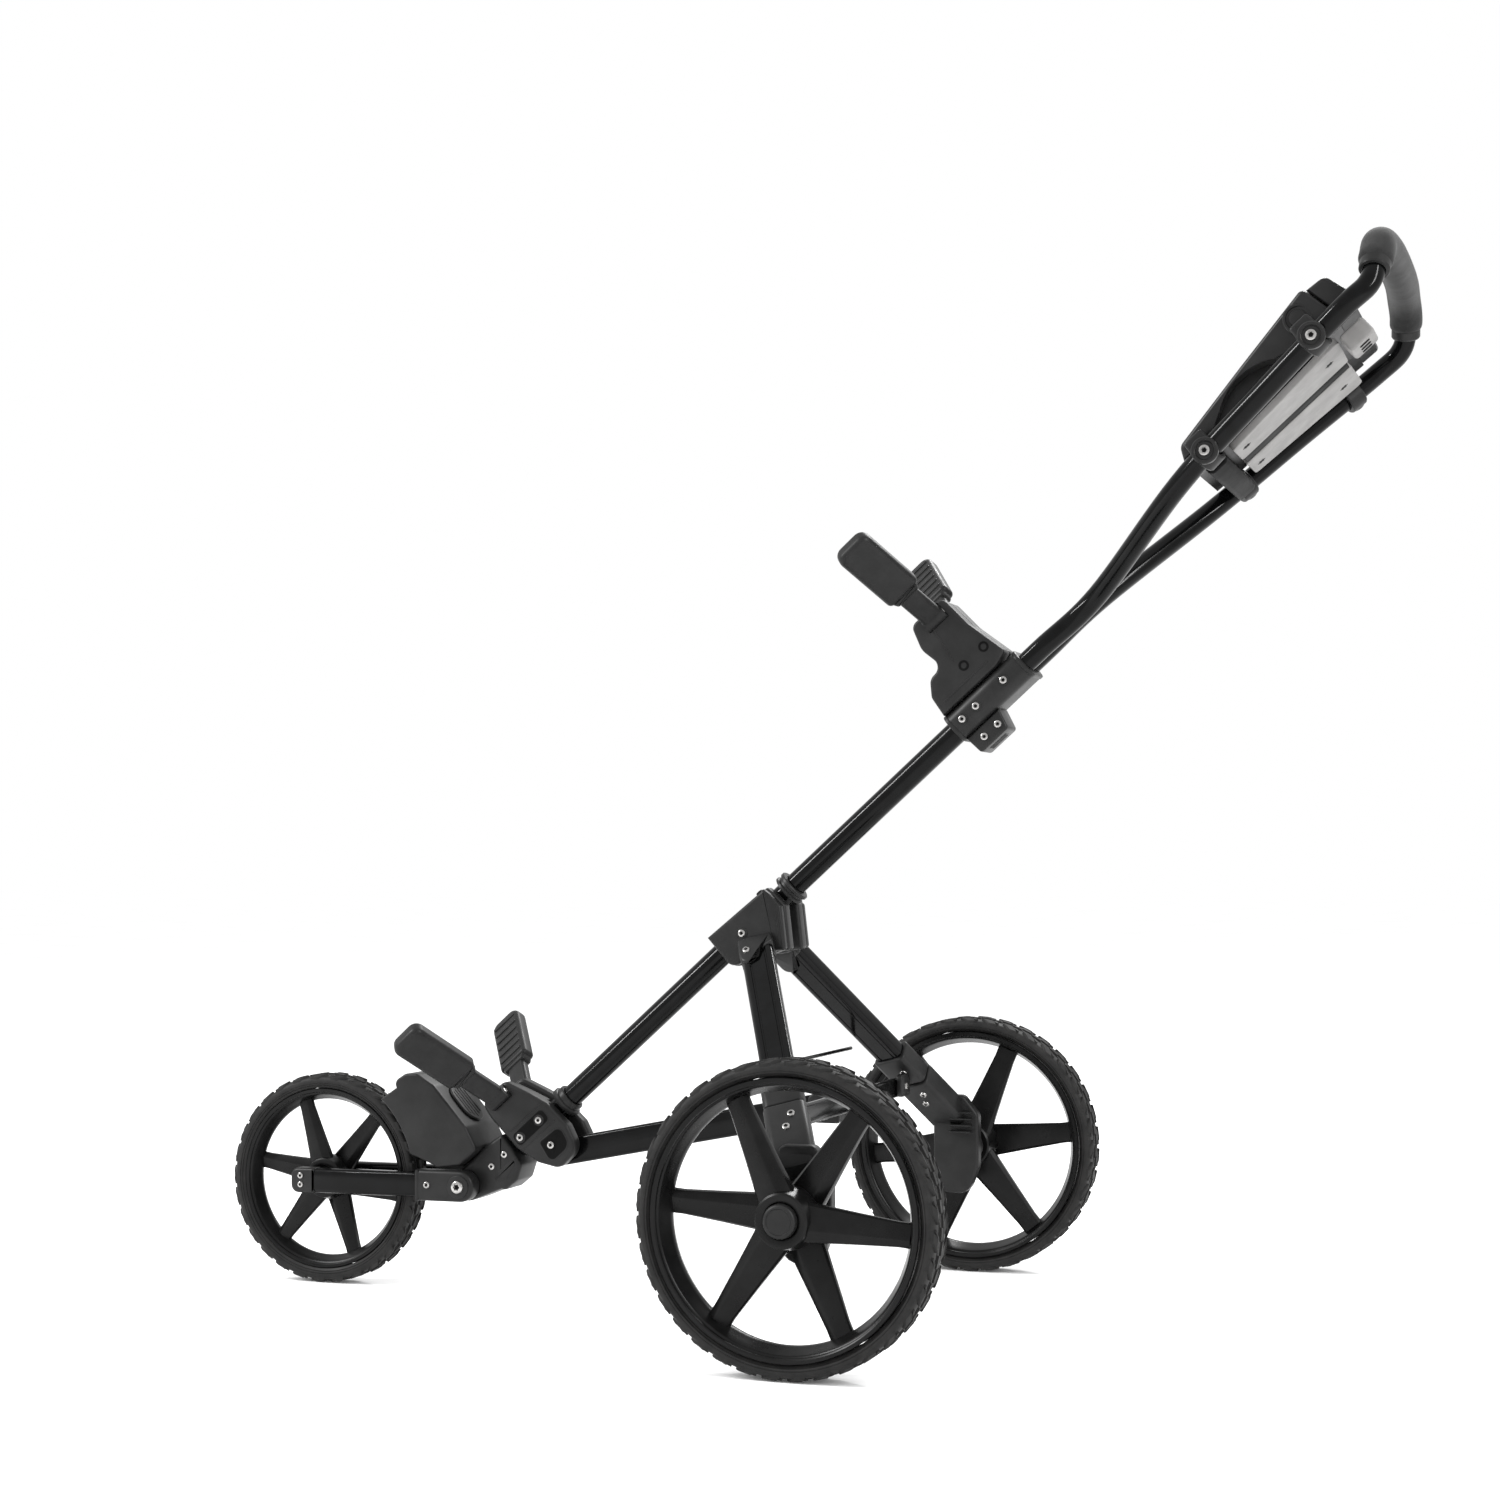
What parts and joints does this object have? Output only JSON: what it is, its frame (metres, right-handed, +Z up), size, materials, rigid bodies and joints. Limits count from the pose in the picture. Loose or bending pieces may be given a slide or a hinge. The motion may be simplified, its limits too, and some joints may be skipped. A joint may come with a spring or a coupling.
{
  "type": "golf push trolley",
  "caption": "Folding three-wheel golf push trolley with a sloping tube frame, bag arms, a console and a foam-covered handle loop.",
  "frame": {"origin": "on the ground below the middle of the trolley's box", "axes": "+Z up, -X the direction of travel, -Y the trolley's left side"},
  "size_m": [1.3495, 0.7346, 1.1002],
  "materials": {
    "painted_tube": "gloss black powder coat",
    "wheel_plastic": "satin black moulded",
    "dark_plastic": "fine moulded grain",
    "tyre_rubber": "matt rubber",
    "pad_rubber": "matt rubber",
    "grip_foam": "soft closed-cell foam",
    "steel": "bright zinc",
    "grey_plastic": "satin light grey"
  },
  "bodies": {
    "chassis": {"lower_tube": "painted_tube", "front_neck": "dark_plastic", "bag_base": "dark_plastic", "bag_base_pad": "pad_rubber", "lower_bracket_left": "dark_plastic", "lower_bracket_right": "dark_plastic", "strut_front_pin": "steel", "knee_shell_left": "dark_plastic", "knee_shell_right": "dark_plastic", "fold_pin": "steel", "leg_pivot_pin": "steel", "fork_pivot_bolt": "steel"},
    "upper_frame": {"upper_tube": "painted_tube", "knee_collar": "dark_plastic", "upper_sleeve": "dark_plastic", "upper_bracket_left": "dark_plastic", "upper_bracket_right": "dark_plastic", "accessory_mount": "dark_plastic", "handle_loop": "painted_tube", "grip": "grip_foam", "console_body": "dark_plastic", "console_end_box": "dark_plastic", "console_tray": "grey_plastic", "console_bridge": "dark_plastic", "console_clamp_left": "dark_plastic", "console_clamp_right": "dark_plastic", "tee_holder": "grey_plastic"},
    "lid": {"console_lid": "dark_plastic"},
    "upper_arm_left": {"upper_arm_left": "pad_rubber"},
    "upper_arm_right": {"upper_arm_right": "pad_rubber"},
    "lower_arm_left": {"lower_arm_left": "pad_rubber"},
    "lower_arm_right": {"lower_arm_right": "pad_rubber"},
    "fork": {"fork_arm_left": "painted_tube", "fork_arm_right": "painted_tube", "fork_end_cap_left": "dark_plastic", "fork_end_cap_right": "dark_plastic", "fork_sleeve_left": "dark_plastic", "fork_sleeve_right": "dark_plastic", "front_axle": "steel"},
    "front_wheel": {"front_wheel_rim": "wheel_plastic", "front_wheel_tyre": "tyre_rubber"},
    "rear_frame": {"rear_leg_left": "painted_tube", "rear_leg_right": "painted_tube", "leg_knuckle_left": "dark_plastic", "leg_knuckle_right": "dark_plastic", "tie_bracket_left": "dark_plastic", "tie_bracket_right": "dark_plastic", "hub_bracket_left": "dark_plastic", "hub_bracket_right": "dark_plastic", "rear_axle_left": "steel", "rear_axle_right": "steel", "rear_tie": "dark_plastic", "cross_rod": "steel"},
    "left_wheel": {"left_wheel_rim": "wheel_plastic", "left_wheel_tyre": "tyre_rubber", "left_wheel_hub_cap": "dark_plastic"},
    "right_wheel": {"right_wheel_rim": "wheel_plastic", "right_wheel_tyre": "tyre_rubber", "right_wheel_hub_cap": "dark_plastic"},
    "strut": {"strut": "painted_tube"}
  },
  "joints": [
    {"name": "upper_fold", "type": "hinge", "parent": "chassis", "child": "upper_frame", "pos_m": [-0.01396, 0, 0.4322], "axis": [0, -1, 0], "range_deg": [0, 110]},
    {"name": "rear_fold", "type": "hinge", "parent": "chassis", "child": "rear_frame", "pos_m": [-0.01249, 0, 0.4096], "axis": [0, 1, 0], "range_deg": [0, 50]},
    {"name": "strut_fold", "type": "hinge", "parent": "rear_frame", "child": "strut", "pos_m": [0.0472, 0, 0.2205], "axis": [0, 1, 0], "range_deg": [-87.25, 0]},
    {"name": "fork_fold", "type": "hinge", "parent": "chassis", "child": "fork", "pos_m": [-0.36709, 0, 0.1214], "axis": [0, -1, 0], "range_deg": [0, 60]},
    {"name": "front_wheel_spin", "type": "hinge", "parent": "fork", "child": "front_wheel", "pos_m": [-0.5548, 0, 0.12], "axis": [0, 1, 0], "continuous": true},
    {"name": "left_wheel_spin", "type": "hinge", "parent": "rear_frame", "child": "left_wheel", "pos_m": [0.1252, -0.334, 0.15], "axis": [0, 1, 0], "continuous": true},
    {"name": "right_wheel_spin", "type": "hinge", "parent": "rear_frame", "child": "right_wheel", "pos_m": [0.1252, 0.334, 0.15], "axis": [0, 1, 0], "continuous": true},
    {"name": "lower_arm_left_swing", "type": "hinge", "parent": "chassis", "child": "lower_arm_left", "pos_m": [-0.32423, -0.033, 0.22098], "axis": [0.7443, 0, 0.6678], "range_deg": [-20, 15]},
    {"name": "lower_arm_right_swing", "type": "hinge", "parent": "chassis", "child": "lower_arm_right", "pos_m": [-0.32423, 0.033, 0.22098], "axis": [-0.7443, 0, -0.6678], "range_deg": [-20, 15]},
    {"name": "upper_arm_left_swing", "type": "hinge", "parent": "upper_frame", "child": "upper_arm_left", "pos_m": [0.18126, -0.025, 0.74171], "axis": [0.7443, 0, 0.6678], "range_deg": [-20, 15]},
    {"name": "upper_arm_right_swing", "type": "hinge", "parent": "upper_frame", "child": "upper_arm_right", "pos_m": [0.18126, 0.025, 0.74171], "axis": [-0.7443, 0, -0.6678], "range_deg": [-20, 15]},
    {"name": "console_lid_hinge", "type": "hinge", "parent": "upper_frame", "child": "lid", "pos_m": [0.57278, 0, 1.03185], "axis": [0, 1, 0], "range_deg": [0, 100]}
  ],
  "couplings": [
    {"joint": "strut_fold", "follows": "rear_fold", "ratio": -1.745}
  ]
}
